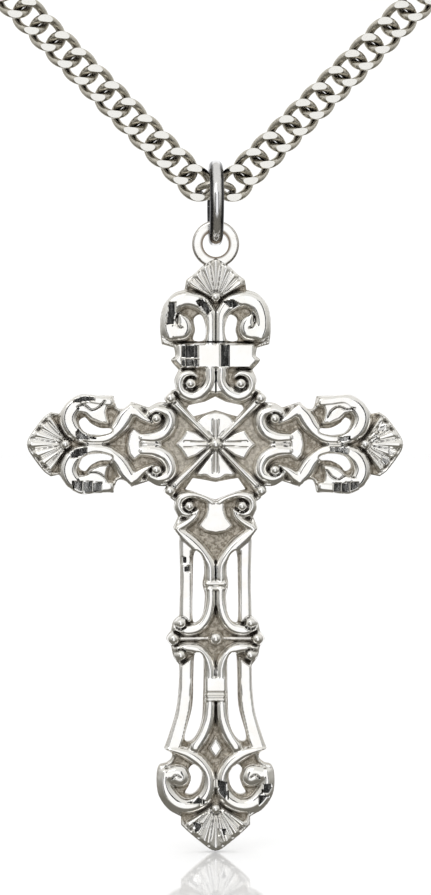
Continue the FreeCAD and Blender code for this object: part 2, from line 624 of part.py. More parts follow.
# ---------------------------------------------------------------- check and write
failed = [o.Name for o in doc.Objects if "Invalid" in o.State or "Error" in o.State]
if failed:
    raise SystemExit(f"failed objects: {failed}")
for part in subparts:
    if part.Shape.isNull() or not part.Shape.isValid():
        raise SystemExit(f"bad shape: {part.Label}")
    part.Shape.exportStep(f"parts/{part.Label}.step")
print(len(subparts), "sub-parts, crossing of the arms at z", round(CROSS_Z, 4))
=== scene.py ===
import math

import bmesh
import bpy
import numpy as np
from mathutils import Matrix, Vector


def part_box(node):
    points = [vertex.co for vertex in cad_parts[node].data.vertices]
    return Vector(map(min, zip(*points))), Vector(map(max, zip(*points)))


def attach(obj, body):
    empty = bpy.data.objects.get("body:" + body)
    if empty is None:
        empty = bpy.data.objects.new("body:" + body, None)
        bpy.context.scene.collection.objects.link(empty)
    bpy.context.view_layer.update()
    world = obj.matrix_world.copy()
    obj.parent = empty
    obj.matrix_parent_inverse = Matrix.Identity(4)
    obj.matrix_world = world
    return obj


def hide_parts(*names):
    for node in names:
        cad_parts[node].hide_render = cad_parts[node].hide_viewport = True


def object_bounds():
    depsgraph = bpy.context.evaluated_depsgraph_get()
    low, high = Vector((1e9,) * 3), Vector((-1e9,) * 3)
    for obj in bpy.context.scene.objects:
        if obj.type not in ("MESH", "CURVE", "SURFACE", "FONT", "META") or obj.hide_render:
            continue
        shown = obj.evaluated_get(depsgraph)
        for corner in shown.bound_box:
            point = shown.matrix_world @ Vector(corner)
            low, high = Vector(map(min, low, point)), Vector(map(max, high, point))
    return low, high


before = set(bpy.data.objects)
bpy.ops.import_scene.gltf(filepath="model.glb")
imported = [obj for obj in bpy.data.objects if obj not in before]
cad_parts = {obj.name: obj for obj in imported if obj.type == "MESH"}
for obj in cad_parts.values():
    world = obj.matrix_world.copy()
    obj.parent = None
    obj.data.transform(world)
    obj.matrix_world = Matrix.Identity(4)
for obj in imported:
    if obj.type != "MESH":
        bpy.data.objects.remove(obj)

size_as_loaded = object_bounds()
MM = 0.001
# heights are in mm: the casting ends this far over the crossing of its arms
TOP_OF_CROSS = 16.05
CROSSING_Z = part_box("cross_casting")[1].z / MM - TOP_OF_CROSS
LOOP_RADIUS = 2.0
LOOP_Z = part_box("hanging_loop")[1].z / MM - LOOP_RADIUS


# ------------------------------------------------------------------ node materials
class Nodes:
    """A short way to write one procedural material. Positions are the object's own, in metres."""

    def __init__(self, name):
        self.material = bpy.data.materials.new(name)
        self.material.use_nodes = True
        self.tree = self.material.node_tree
        self.tree.nodes.clear()
        self.shader = self.node("ShaderNodeBsdfPrincipled")
        output = self.node("ShaderNodeOutputMaterial")
        self.link(self.shader.outputs["BSDF"], output.inputs["Surface"])
        self.position = self.node("ShaderNodeTexCoord").outputs["Object"]

    def node(self, kind, **settings):
        made = self.tree.nodes.new(kind)
        for name, value in settings.items():
            setattr(made, name, value)
        return made

    def link(self, source, target):
        self.tree.links.new(source, target)

    def feed(self, target, value):
        if isinstance(value, bpy.types.NodeSocket):
            self.link(value, target)
        else:
            target.default_value = value

    def noise(self, scale, detail=3.0, stretch=(1, 1, 1)):
        """Noise whose scale is in cycles per millimetre."""
        mapping = self.node("ShaderNodeMapping")
        self.link(self.position, mapping.inputs["Vector"])
        mapping.inputs["Scale"].default_value = stretch
        texture = self.node("ShaderNodeTexNoise")
        self.link(mapping.outputs["Vector"], texture.inputs["Vector"])
        texture.inputs["Scale"].default_value = scale / MM
        texture.inputs["Detail"].default_value = detail
        return texture.outputs["Fac"]

    def ramp(self, value, low, high, start=0.0, end=1.0):
        """A smooth step of value from low to high, giving start to end."""
        step = self.node("ShaderNodeMapRange", interpolation_type="SMOOTHSTEP")
        self.link(value, step.inputs["Value"])
        step.inputs["From Min"].default_value = low
        step.inputs["From Max"].default_value = high
        step.inputs["To Min"].default_value = start
        step.inputs["To Max"].default_value = end
        return step.outputs["Result"]

    def maths(self, operation, first, second):
        made = self.node("ShaderNodeMath", operation=operation, use_clamp=False)
        self.feed(made.inputs[0], first)
        self.feed(made.inputs[1], second)
        return made.outputs["Value"]

    def mix(self, amount, first, second):
        """A colour between first and second."""
        made = self.node("ShaderNodeMix", data_type="RGBA")
        self.feed(made.inputs["Factor"], amount)
        self.feed(made.inputs["A"], (*first, 1) if isinstance(first, tuple) else first)
        self.feed(made.inputs["B"], (*second, 1) if isinstance(second, tuple) else second)
        return made.outputs["Result"]

    def reach(self, x, z):
        """Distance from the line through x, z (in mm) that runs front to back."""
        split = self.node("ShaderNodeSeparateXYZ")
        self.link(self.position, split.inputs["Vector"])
        across = self.maths("POWER", self.maths("SUBTRACT", split.outputs["X"], x * MM), 2.0)
        up = self.maths("POWER", self.maths("SUBTRACT", split.outputs["Z"], z * MM), 2.0)
        return self.maths("SQRT", self.maths("ADD", across, up), 0.0)

    def crevice(self, distance):
        """1 in the open and 0 deep in a corner, feeling as far as distance in mm."""
        shade = self.node("ShaderNodeAmbientOcclusion", samples=8)
        shade.inputs["Distance"].default_value = distance * MM
        return shade.outputs["AO"]

    def bump(self, height, depth, strength=1.0):
        """Bump of this depth in mm."""
        made = self.node("ShaderNodeBump")
        made.inputs["Strength"].default_value = strength
        made.inputs["Distance"].default_value = depth * MM
        self.link(height, made.inputs["Height"])
        self.link(made.outputs["Normal"], self.shader.inputs["Normal"])

    def finish(self, colour, roughness, metallic=1.0):
        self.feed(self.shader.inputs["Base Color"], colour)
        self.feed(self.shader.inputs["Roughness"], roughness)
        self.feed(self.shader.inputs["Metallic"], metallic)
        return self.material


BRIGHT = (0.95, 0.945, 0.93)
WARM_BRIGHT = (0.93, 0.915, 0.88)
TARNISH = (0.34, 0.30, 0.24)
# dark colour for corners and crevices: painted shade, together with the oxide and grime that gather there
CREVICE_SHADE_AND_GRIME = (0.065, 0.053, 0.042)


def antiqued_silver():
    """Polished relief over sandy recesses that keep their dark oxide, and dull cast sides and back, with
    painted shade in the corners.
    """
    m = Nodes("antiqued_silver")
    split = m.node("ShaderNodeSeparateXYZ")
    m.link(m.position, split.inputs["Vector"])
    depth = split.outputs["Y"]
    sand = m.noise(9.0, 4.0)
    clouds = m.noise(0.9, 2.0)
    grain = m.maths("ADD", m.maths("MULTIPLY", sand, 0.4), m.maths("MULTIPLY", m.noise(3.6, 3.0), 0.6))

    # the recesses, lighter in the open field round the crossing
    below_relief = m.ramp(depth, -0.50 * MM, -0.22 * MM)
    sunk = m.maths("MULTIPLY", below_relief, m.ramp(depth, 0.0, 0.55 * MM, 1.0, 0.25))
    recess = m.mix(m.ramp(grain, 0.42, 0.60), TARNISH, (0.70, 0.65, 0.57))
    field = m.ramp(m.reach(0.0, CROSSING_Z), 3.2 * MM, 5.2 * MM, 0.3, 0.0)
    recess = m.mix(field, recess, (0.90, 0.86, 0.78))

    silver = m.mix(m.ramp(clouds, 0.35, 0.7), BRIGHT, WARM_BRIGHT)
    cast = m.mix(m.ramp(sand, 0.3, 0.7), (0.46, 0.45, 0.40), (0.60, 0.585, 0.54))
    silver = m.mix(m.ramp(depth, -0.1 * MM, 0.5 * MM), silver, cast)
    toned = m.mix(sunk, silver, recess)
    # painted shade: corners and crevices darkened towards black, together with the oxide that sits in them
    corner = m.ramp(m.crevice(0.4), 0.25, 0.82, 1.0, 0.0)

    polish = m.ramp(m.noise(3.0, 5.0, (1, 1, 0.25)), 0.3, 0.7, 0.05, 0.15)
    matt = m.maths("MAXIMUM", m.maths("MULTIPLY", sunk, 0.42), m.ramp(depth, 0.0, 0.6 * MM, 0.0, 0.22))
    m.bump(m.maths("MULTIPLY", grain, m.ramp(sunk, 0.2, 0.9, 0.03, 1.0)), 0.12)
    return m.finish(m.mix(corner, toned, CREVICE_SHADE_AND_GRIME), m.maths("ADD", polish, matt))


def chain_metal():
    """Dull rounded wire with bright flats ground on the front and the back."""
    m = Nodes("chain_metal")
    split = m.node("ShaderNodeSeparateXYZ")
    m.link(m.node("ShaderNodeTexCoord").outputs["Normal"], split.inputs["Vector"])
    facing = m.maths("ABSOLUTE", split.outputs["Y"], 0.0)
    ground = m.ramp(facing, 0.955, 0.985)
    cloud = m.noise(1.1, 3.0)
    fine = m.noise(14.0, 4.0)
    wire = m.mix(m.ramp(cloud, 0.35, 0.68), (0.68, 0.65, 0.585), (0.57, 0.545, 0.485))
    clean = m.mix(ground, wire, (0.82, 0.81, 0.775))
    # painted shade: darkened where the links touch and cross
    corner = m.ramp(m.crevice(0.6), 0.2, 0.85, 0.8, 0.0)
    m.bump(fine, 0.003)
    return m.finish(m.mix(corner, clean, CREVICE_SHADE_AND_GRIME), m.ramp(fine, 0.3, 0.7, 0.14, 0.24))


def fitting_metal():
    """Bright metal with fine wear, and painted shade with a little dirt where pieces touch."""
    m = Nodes("fitting_metal")
    cloud = m.noise(1.1, 3.0)
    fine = m.noise(14.0, 4.0, (0.3, 1, 3))
    # painted shade, with a little dirt, darkening where pieces touch
    corner = m.ramp(m.crevice(0.35), 0.25, 0.85, 0.5, 0.0)
    clean = m.mix(m.ramp(cloud, 0.35, 0.68), (0.86, 0.85, 0.82), (0.80, 0.79, 0.76))
    m.bump(fine, 0.004)
    return m.finish(m.mix(corner, clean, CREVICE_SHADE_AND_GRIME), m.ramp(fine, 0.3, 0.7, 0.2, 0.36))


def ring_metal():
    """Hard bright wire with painted dark reflections on its flanks and painted shade in its crevices."""
    m = Nodes("jump_ring_metal")
    split = m.node("ShaderNodeSeparateXYZ")
    m.link(m.node("ShaderNodeTexCoord").outputs["Normal"], split.inputs["Vector"])
    # painted reflection: the flanks, where the wire turns sideways, are darkened towards black; crevices get
    # painted shade
    flank = m.maths("ABSOLUTE", split.outputs["X"], 0.0)
    uneven = m.maths("ADD", flank, m.maths("MULTIPLY", m.noise(0.8, 3.0), 0.25))
    painted_dark_flanks = m.maths("MAXIMUM", m.ramp(uneven, 0.5, 0.82), m.ramp(m.crevice(0.4), 0.3, 0.8, 0.7, 0.0))
    fine = m.noise(10.0, 3.0)
    m.bump(fine, 0.001)
    colour = m.mix(painted_dark_flanks, (0.80, 0.80, 0.81), (0.035, 0.035, 0.038))
    return m.finish(colour, m.ramp(fine, 0.3, 0.7, 0.03, 0.07))


def loop_silver():
    """The bright eye over the cross: brown in its hole, and darkened round its outer edge as painted shade.
    """
    m = Nodes("loop_silver")
    reach = m.reach(0.0, LOOP_Z)
    hole = m.ramp(reach, 1.2 * MM, 1.42 * MM, 1.0, 0.0)
    # painted shade: the outer rim darkened towards brown for the shading of its rounded edge
    rim = m.ramp(reach, 1.72 * MM, LOOP_RADIUS * MM, 0.0, 0.55)
    cloud = m.noise(1.4, 4.0)
    silver = m.mix(m.ramp(cloud, 0.35, 0.7), BRIGHT, WARM_BRIGHT)
    hole_tone_and_rim_shade = m.mix(m.maths("MAXIMUM", hole, rim), silver, (0.22, 0.18, 0.14))
    m.bump(cloud, 0.02)
    return m.finish(hole_tone_and_rim_shade, m.ramp(cloud, 0.3, 0.7, 0.1, 0.22))


MATERIALS = {
    "antiqued_silver": antiqued_silver(),
    "chain_metal": chain_metal(),
    "jump_ring_metal": ring_metal(),
    "loop_silver": loop_silver(),
    "fitting_metal": fitting_metal(),
}


def dress(piece, slot):
    piece.data.materials.clear()
    piece.data.materials.append(MATERIALS[slot])


# ------------------------------------------------------------------ relief of the cross
# The relief is drawn in mm as (x, z) with the crossing of the arms at (0, 0). Heights are measured from
# the floor of the recesses towards the viewer.
BACK_Y = 0.85
FLOOR_Y = -0.15
STRAP = 0.70
CUT_WIDTH = 0.8
CELL = 0.075
CORNERS = ((0, 0), (1, 0), (1, 1), (0, 1))

ARM_EDGE = [
    [(4.2, 3.6), (5.0, 3.55), (5.75, 3.15)],
    [(5.75, 3.15), (7.2, 3.65)],
    [(7.2, 3.65), (7.9, 3.1), (8.45, 3.15), (8.75, 4.15)],
    [(8.75, 4.15), (10.2, 4.2), (11.6, 4.25), (12.7, 3.6), (13.4, 2.6)],
    [(13.4, 2.6), (14.1, 2.75)],
    [(14.1, 2.75), (14.8, 2.2), (15.9, 0.7), (16.15, 0)],
]
TOP_EDGE = [
    [(0, 16.05), (0.6, 15.75), (1.85, 14.6), (2.5, 14.1)],
    [(2.5, 14.1), (2.65, 13.25)],
    [(2.65, 13.25), (3.6, 12.9), (4.4, 12.0), (4.72, 10.8), (4.72, 9.6), (4.6, 8.6)],
    [(4.6, 8.6), (3.55, 8.3)],
    [(3.55, 8.3), (3.45, 7.6), (3.8, 7.2), (3.15, 6.4)],
    [(3.15, 6.4), (3.5, 5.6), (3.4, 4.75)],
    [(3.4, 4.75), (3.95, 4.5), (4.4, 4.0), (4.2, 3.6)],
]
LOWER_EDGE = [
    [(4.2, -3.6), (4.45, -4.05), (4.0, -4.5), (3.5, -4.9)],
    [(3.5, -4.9), (3.55, -5.5), (3.2, -6.2)],
    [(3.2, -6.2), (3.65, -7.2)],
    [(3.65, -7.2), (3.1, -8.0)],
    [(3.1, -8.0), (3.02, -11.5), (3.08, -14.7)],
    [(3.08, -14.7), (3.6, -15.2), (3.8, -16.0)],
    [(3.8, -16.0), (4.2, -16.65), (3.8, -17.3)],
    [(3.8, -17.3), (3.6, -18.2), (3.1, -18.9)],
    [(3.1, -18.9), (3.15, -21.0), (3.4, -23.0), (4.0, -25.0), (4.4, -26.1)],
    [(4.4, -26.1), (3.75, -26.5), (3.8, -27.0), (4.2, -27.35)],
    [(4.2, -27.35), (4.85, -27.6), (5.05, -28.6), (4.9, -30.0), (4.1, -31.2), (2.95, -31.9)],
    [(2.95, -31.9), (2.95, -32.6)],
    [(2.95, -32.6), (2.1, -33.4), (0.6, -34.6), (0, -34.85)],
]
# openings: the two on the axis, the upright's right half, the arm's upper half
AXIS_WINDOWS = [
    [(0, 4.1), (0.9, 3.65), (2.3, 3.35), (2.45, 3.05), (1.9, 2.4), (1.3, 2.55), (0, 2.95),
     (-1.3, 2.55), (-1.9, 2.4), (-2.45, 3.05), (-2.3, 3.35), (-0.9, 3.65)],
    [(0, -3.25), (1.0, -3.05), (1.95, -2.9), (2.6, -3.85), (1.8, -4.05), (0.9, -4.4), (0, -4.75),
     (-0.9, -4.4), (-1.8, -4.05), (-2.6, -3.85), (-1.95, -2.9), (-1.0, -3.05)],
]
UPRIGHT_WINDOWS = [
    [(1.0, 8.95), (0.82, 10.0), (1.2, 11.1), (1.85, 10.8), (1.75, 9.8), (1.9, 8.95)],
    [(1.4, -9.3), (1.85, -9.4), (1.95, -12.0), (1.95, -15.0), (1.5, -15.2), (1.05, -14.5), (0.9, -13.0),
     (1.1, -12.0), (0.95, -11.0), (1.05, -10.0)],
    [(1.4, -17.85), (1.8, -18.1), (1.9, -20.0), (2.0, -22.5), (2.65, -25.1), (2.2, -25.5), (1.6, -24.9),
     (1.15, -23.6), (1.05, -21.5), (1.0, -19.0), (1.1, -18.2)],
    [(1.3, -27.9), (1.85, -27.45), (2.3, -27.9), (2.1, -28.6), (2.3, -29.3), (2.6, -29.9), (2.0, -30.05),
     (1.4, -29.5), (1.15, -28.6)],
]
ARM_WINDOW = [(11.7, 1.9), (11.2, 2.3), (10.7, 1.8), (9.9, 1.4), (9.05, 1.35), (9.0, 1.0), (10.0, 0.8),
              (11.2, 1.05)]

# straps of the upright's right half: x, z and half width
UPRIGHT_STRAPS = {
    "top scroll": [(0.46, 8.9, 0.47), (0.44, 10.2, 0.43), (0.55, 11.2, 0.5), (1.3, 12.1, 0.6),
                   (2.5, 12.42, 0.6), (3.5, 12.0, 0.64), (3.95, 11.0, 0.62), (4.0, 10.0, 0.6),
                   (3.85, 9.35, 0.5)],
    "top curl": [(3.5, 9.65, 0.7), (2.85, 9.85, 0.78), (2.75, 10.4, 0.55), (3.05, 11.0, 0.2)],
    "upper volute": [(0.48, 6.4, 0.46), (0.48, 5.4, 0.47), (0.93, 4.6, 0.5), (1.9, 4.08, 0.46),
                     (2.85, 4.45, 0.42), (3.12, 5.2, 0.38), (2.8, 5.9, 0.34), (2.1, 6.08, 0.26),
                     (1.6, 5.8, 0.14)],
    "lower volute": [(0.25, -5.0, 0.26), (1.0, -4.55, 0.3), (2.0, -4.32, 0.3), (2.9, -4.55, 0.38),
                     (3.18, -5.2, 0.36), (2.85, -5.85, 0.32), (2.2, -5.98, 0.22), (1.7, -5.75, 0.12)],
    "shoulder": [(1.5, -5.6, 0.14), (1.8, -6.2, 0.24), (2.5, -6.75, 0.34), (3.2, -7.15, 0.36)],
    "vee": [(3.35, -7.3, 0.3), (2.65, -7.9, 0.5), (1.7, -8.75, 0.56), (0.95, -9.6, 0.5),
            (0.5, -10.4, 0.44), (0.46, -11.5, 0.42)],
    "upper stem": [(0.42, -12.5, 0.38), (0.44, -13.6, 0.4), (0.75, -14.8, 0.44), (1.45, -15.65, 0.44),
                   (2.4, -15.92, 0.42), (3.2, -15.65, 0.38)],
    "arch": [(3.2, -17.55, 0.36), (2.4, -17.42, 0.4), (1.5, -17.62, 0.44), (0.78, -18.3, 0.42),
             (0.5, -19.2, 0.42), (0.48, -19.9, 0.42)],
    "lower stem": [(0.5, -22.3, 0.42), (0.62, -23.5, 0.46), (1.05, -24.7, 0.52), (1.75, -25.85, 0.5)],
    "foot scroll": [(4.25, -26.05, 0.08), (3.4, -26.2, 0.3), (2.3, -26.55, 0.46), (1.25, -27.3, 0.5),
                    (0.65, -28.3, 0.48), (0.6, -29.4, 0.52), (1.1, -30.4, 0.58), (2.1, -30.95, 0.55),
                    (3.2, -30.8, 0.6), (4.05, -30.0, 0.62), (4.4, -29.0, 0.5), (4.35, -28.1, 0.42)],
    "foot curl": [(4.0, -28.25, 0.55), (3.3, -28.35, 0.8), (3.05, -28.5, 0.76)],
}
# straps of the arm's upper half
ARM_STRAPS = {
    "volute": [(6.3, 0.57, 0.36), (5.2, 0.6, 0.44), (4.3, 1.05, 0.46), (3.85, 1.9, 0.44),
               (4.08, 2.65, 0.4), (4.9, 2.95, 0.34), (5.6, 2.7, 0.32)],
    "shoulder": [(5.2, 1.75, 0.1), (6.1, 2.2, 0.26), (6.8, 2.75, 0.4), (7.25, 3.0, 0.4)],
    "scroll": [(7.2, 3.05, 0.4), (7.75, 2.3, 0.58), (8.35, 1.4, 0.5), (9.3, 0.6, 0.4),
               (10.3, 0.4, 0.32), (11.3, 0.62, 0.44), (12.2, 1.2, 0.58), (12.6, 2.2, 0.62),
               (12.2, 3.15, 0.6), (11.2, 3.8, 0.4), (10.0, 3.72, 0.38), (9.1, 3.62, 0.38)],
}
ARM_BLADE = [(9.0, 4.15), (11.5, 4.15), (12.4, 3.6), (12.0, 2.75), (11.2, 2.62), (10.7, 2.15), (9.9, 1.8),
             (9.1, 1.72), (9.35, 2.7)]
ROD = [(0.3, 0.3, 0.18), (2.0, 2.02, 0.27), (3.75, 3.77, 0.34)]
BEAM = [(0.4, -16.63, 0.15), (3.4, -16.66, 0.15)]
COLLARS = [[(-0.75, -11.93, 0.32), (0.75, -11.93, 0.32)], [(-0.85, -12.4, 0.14), (0.85, -12.4, 0.14)],
           [(-0.85, -21.48, 0.16), (0.85, -21.48, 0.16)], [(-0.78, -21.88, 0.2), (0.78, -21.88, 0.2)]]

# x, z and radius
AXIS_BEADS = [(0, 12.6, 0.44), (0, 0, 0.56), (0, -16.63, 0.57), (0, -31.2, 0.44)]
UPRIGHT_BEADS = [(2.15, 5.2, 0.48), (2.25, -5.3, 0.46), (3.0, -15.3, 0.48), (3.6, -16.65, 0.52),
                 (3.0, -18.05, 0.48), (3.87, 3.95, 0.5), (3.92, -4.0, 0.5)]
ARM_BEAD = (5.08, 2.2, 0.46)
ARM_TIP_BEAD = (12.85, 0, 0.44)

# raised flats on the axis: outline and height
FLATS = [
    ([(-0.98, 8.75), (0.98, 8.75), (0.8, 10.0), (0.95, 11.0), (0, 11.5), (-0.95, 11.0), (-0.8, 10.0)], 0.58),
    ([(-0.98, 6.45), (0.98, 6.45), (0.95, 5.3), (1.3, 4.65), (0, 4.3), (-1.3, 4.65), (-0.95, 5.3)], 0.58),
    ([(-0.85, -10.2), (0.85, -10.2), (0.8, -11.6), (-0.8, -11.6)], 0.58),
    ([(-0.78, -12.55), (0.78, -12.55), (0.8, -13.4), (0, -13.9), (-0.8, -13.4)], 0.58),
    ([(-3.35, 8.62), (3.35, 8.62), (3.3, 7.6), (3.65, 7.2), (3.0, 6.5), (-3.0, 6.5), (-3.65, 7.2),
      (-3.3, 7.6)], 0.62),
    ([(-0.8, -4.85), (0.8, -4.85), (0.78, -5.6), (0.95, -6.2), (1.55, -7.0), (0.9, -7.5), (0, -7.66),
      (-0.9, -7.5), (-1.55, -7.0), (-0.95, -6.2), (-0.78, -5.6)], 0.6),
    ([(-0.92, -19.9), (0.92, -19.9), (0.92, -21.25), (-0.92, -21.25)], 0.68),
    ([(-0.85, -21.1), (0.85, -21.1), (0.8, -22.1), (-0.8, -22.1)], 0.52),
    ([(-0.8, -11.5), (0.8, -11.5), (0.85, -12.6), (-0.85, -12.6)], 0.5),
    ([(0, -24.98), (0.62, -26.05), (0, -26.95), (-0.62, -26.05)], 0.55),
]
BELL = [(6.38, 0.95), (7.0, 1.42), (7.45, 0.9), (7.65, 0), (7.45, -0.9), (7.0, -1.42), (6.38, -0.95)]
BELL_SLOT = [(4.6, 0.4), (6.45, 0.4), (6.45, -0.4), (4.6, -0.4)]
SIDE_BARS = [
    [(2.05, -8.75), (3.0, -8.1), (2.95, -11.5), (3.0, -14.75), (2.3, -15.3), (2.05, -15.1)],
    [(2.0, -18.2), (3.05, -18.95), (3.1, -21.0), (3.35, -23.0), (3.9, -24.9), (4.25, -26.0),
     (3.0, -25.95), (2.75, -25.3), (2.15, -22.6), (2.02, -20.0)],
]

# petals of the middle flower: outline across and along the petal
SECTOR = [(0.12, 0.45), (1.62, 1.95), (1.25, 2.38), (0.7, 2.68), (0, 2.8), (-0.7, 2.68), (-1.25, 2.38),
          (-1.62, 1.95), (-0.12, 0.45)]
SKIRT = [(0.12, 0.45), (1.75, 2.62), (1.3, 2.75), (0.85, 2.68), (0.45, 2.98), (0, 3.05), (-0.45, 2.98),
         (-0.85, 2.68), (-1.3, 2.75), (-1.75, 2.62), (-0.12, 0.45)]
ARROW = [(0.12, 0.4), (0.95, 1.55), (1.3, 2.5), (0.85, 2.75), (0.4, 3.05), (0, 3.5), (-0.4, 3.05),
         (-0.85, 2.75), (-1.3, 2.5), (-0.95, 1.55), (-0.12, 0.4)]
# facets planed by a graver: outline, height of the middle, and its rise per mm along x and z
FACETS = [
    ([(-2.95, 8.5), (-1.5, 8.5), (-1.5, 7.4), (-2.95, 7.4)], 0.5, (0.23, 0.0)),
    ([(-2.95, 7.3), (-1.5, 7.3), (-1.5, 6.55), (-2.95, 6.55)], 0.5, (0.2, 0.04)),
    ([(0.3, 8.6), (1.15, 8.6), (1.15, 6.6), (0.3, 6.6)], 0.5, (-0.19, 0.0)),
    ([(-4.3, 10.2), (-3.4, 10.2), (-3.45, 12.2), (-4.0, 12.2)], 0.5, (0.23, 0.0)),
    ([(-1.7, 12.2), (-1.1, 12.6), (-0.3, 11.4), (-0.8, 10.9)], 0.5, (-0.22, 0.05)),
    ([(0.6, 12.2), (1.4, 12.4), (3.0, 11.5), (2.85, 11.0), (1.4, 11.5)], 0.5, (0.23, 0.0)),
    ([(9.8, -0.2), (11.5, -0.2), (11.3, -1.1), (9.8, -0.9)], 0.52, (0.23, 0.0)),
    ([(10.0, -3.3), (12.3, -3.2), (12.2, -4.15), (10.0, -4.2)], 0.52, (-0.19, 0.0)),
    ([(10.4, 0.15), (11.6, 0.15), (11.5, 0.7), (10.5, 0.6)], 0.52, (0.23, 0.0)),
    ([(-12.2, 3.5), (-10.3, 3.7), (-10.3, 4.2), (-12.0, 4.2)], 0.52, (0.23, 0.0)),
    ([(-12.0, 1.0), (-11.6, 1.45), (-11.0, 0.8), (-10.2, 0.5), (-11.8, 0.3)], 0.5, (-0.19, 0.0)),
    ([(-12.4, -0.3), (-11.0, -0.3), (-11.0, -1.1), (-12.4, -1.2)], 0.52, (0.23, 0.0)),
    ([(-12.3, -3.1), (-9.7, -3.2), (-9.7, -4.2), (-12.1, -4.2)], 0.52, (-0.19, 0.0)),
    ([(-3.1, -9.6), (-2.1, -9.6), (-2.1, -10.1), (-3.1, -10.3)], 0.52, (0.23, 0.0)),
    ([(-3.1, -10.5), (-2.1, -10.3), (-2.1, -10.9), (-3.1, -10.9)], 0.52, (-0.19, 0.0)),
    ([(-2.6, -30.7), (-2.0, -29.9), (-0.8, -30.5), (-0.9, -30.9)], 0.52, (-0.19, -0.18)),
    ([(0.1, -28.7), (1.0, -28.9), (1.1, -30.4), (0.2, -30.3)], 0.52, (0.23, -0.18)),
    ([(4.0, -29.1), (4.9, -29.1), (4.8, -29.95), (3.95, -29.9)], 0.52, (-0.19, -0.18)),
    ([(3.6, -30.05), (4.7, -30.1), (4.2, -31.0), (3.6, -31.0)], 0.52, (0.23, -0.18)),
    ([(13.9, 1.0), (14.8, 1.2), (14.6, 2.1), (14.0, 1.9)], 0.45, (0.23, 0.0)),
    ([(14.2, -1.0), (15.0, -1.2), (14.8, -1.9), (14.2, -1.9)], 0.45, (-0.19, 0.0)),
    ([(13.3, 0.25), (14.1, 0.3), (13.9, 0.95), (13.4, 0.85)], 0.45, (-0.19, 0.0)),
    ([(14.9, -0.25), (15.6, -0.25), (15.3, -1.0), (14.8, -0.9)], 0.43, (0.23, 0.0)),
    ([(-2.0, -32.3), (-1.2, -32.4), (-1.1, -33.3), (-1.8, -33.2)], 0.45, (0.23, -0.18)),
    ([(0.4, -32.9), (0.85, -32.9), (0.8, -34.1), (0.4, -34.0)], 0.45, (-0.19, -0.18)),
]
# graver's lines: x, z and half width
GROOVES = [
    [(3.2, 11.3, 0.12), (3.35, 10.7, 0.14), (3.2, 10.1, 0.14), (2.9, 9.95, 0.1)],
    [(-3.2, 11.3, 0.12), (-3.35, 10.7, 0.14), (-3.2, 10.1, 0.14), (-2.9, 9.95, 0.1)],
    [(3.0, -28.5, 0.1), (3.4, -28.3, 0.14), (3.75, -28.6, 0.1)],
    [(-3.0, -28.5, 0.1), (-3.4, -28.3, 0.14), (-3.75, -28.6, 0.1)],
    [(-2.95, 8.75, 0.08), (3.0, 8.75, 0.08)], [(0, 8.9, 0.07), (0, 11.4, 0.07)],
    [(0, 6.4, 0.07), (0, 4.4, 0.07)], [(0, -10.0, 0.06), (0, -11.6, 0.06)],
    [(0, -12.6, 0.06), (0, -13.8, 0.06)],
    [(11.9, 3.1, 0.08), (11.2, 3.0, 0.1), (10.6, 3.2, 0.1), (10.0, 2.9, 0.1), (9.6, 2.3, 0.08)],
    [(-11.8, 3.2, 0.08), (-11.3, 3.35, 0.1), (-10.6, 2.9, 0.1), (-9.9, 3.2, 0.1), (-9.5, 3.7, 0.08)],
    [(-11.7, -1.6, 0.08), (-11.3, -2.6, 0.1), (-10.6, -2.4, 0.1), (-10.0, -2.5, 0.1), (-9.4, -2.9, 0.08)],
    [(11.9, -2.9, 0.08), (11.2, -2.7, 0.1), (10.6, -3.0, 0.1), (10.0, -2.8, 0.1), (9.5, -2.2, 0.08)],
]
PETAL_LINES = [
    [(0.6, 0.17, 0.05), (2.7, 0.25, 0.09)], [(0.6, -0.17, 0.05), (2.7, -0.25, 0.09)],
    [(-0.6, 0.17, 0.05), (-2.7, 0.25, 0.09)], [(-0.6, -0.17, 0.05), (-2.7, -0.25, 0.09)],
    [(0.14, 0.6, 0.05), (0.18, 2.1, 0.07)], [(-0.14, 0.6, 0.05), (-0.18, 2.1, 0.07)],
    [(0.14, -0.6, 0.05), (0.18, -2.4, 0.07)], [(-0.14, -0.6, 0.05), (-0.18, -2.4, 0.07)],
]


def smooth_path(points, steps=8):
    """A Catmull-Rom curve through the points, in as many dimensions as they have."""
    given = np.array(points, float)
    held = np.vstack([2 * given[0] - given[1], given, 2 * given[-1] - given[-2]])
    t = np.linspace(0, 1, steps, endpoint=False)[:, None]
    runs = [0.5 * (2 * b + (c - a) * t + (2 * a - 5 * b + 4 * c - d) * t ** 2
                   + (3 * b - 3 * c + d - a) * t ** 3)
            for a, b, c, d in zip(held, held[1:], held[2:], held[3:])]
    return np.vstack(runs + [given[-1:]])


def smooth_loop(points, steps=8):
    given = [points[-1], *points, points[0], points[1]]
    path = smooth_path(given, steps)
    return path[steps:-steps - 1]


def flip_x(points):
    return [(-p[0], *p[1:]) for p in points]


def flip_z(points):
    return [(p[0], -p[1], *p[2:]) for p in points]


def four(points):
    """The shape and its mirror images in x, z and both."""
    return [points, flip_x(points), flip_z(points), flip_x(flip_z(points))]


def segment_reach(x, z, start, end):
    """Distance of every spot from one straight segment, and how far along it the nearest point is."""
    run = end[:2] - start[:2]
    along = np.clip(((x - start[0]) * run[0] + (z - start[1]) * run[1]) / max(run @ run, 1e-12), 0, 1)
    return np.hypot(x - start[0] - along * run[0], z - start[1] - along * run[1]), along


def inside(x, z, loop):
    """Even-odd test of every spot against a closed polygon."""
    odd = np.zeros(x.shape, bool)
    for (ax, az), (bx, bz) in zip(loop, np.roll(loop, -1, axis=0)):
        if az != bz:
            odd ^= ((az > z) != (bz > z)) & (x < (bx - ax) * (z - az) / (bz - az) + ax)
    return odd


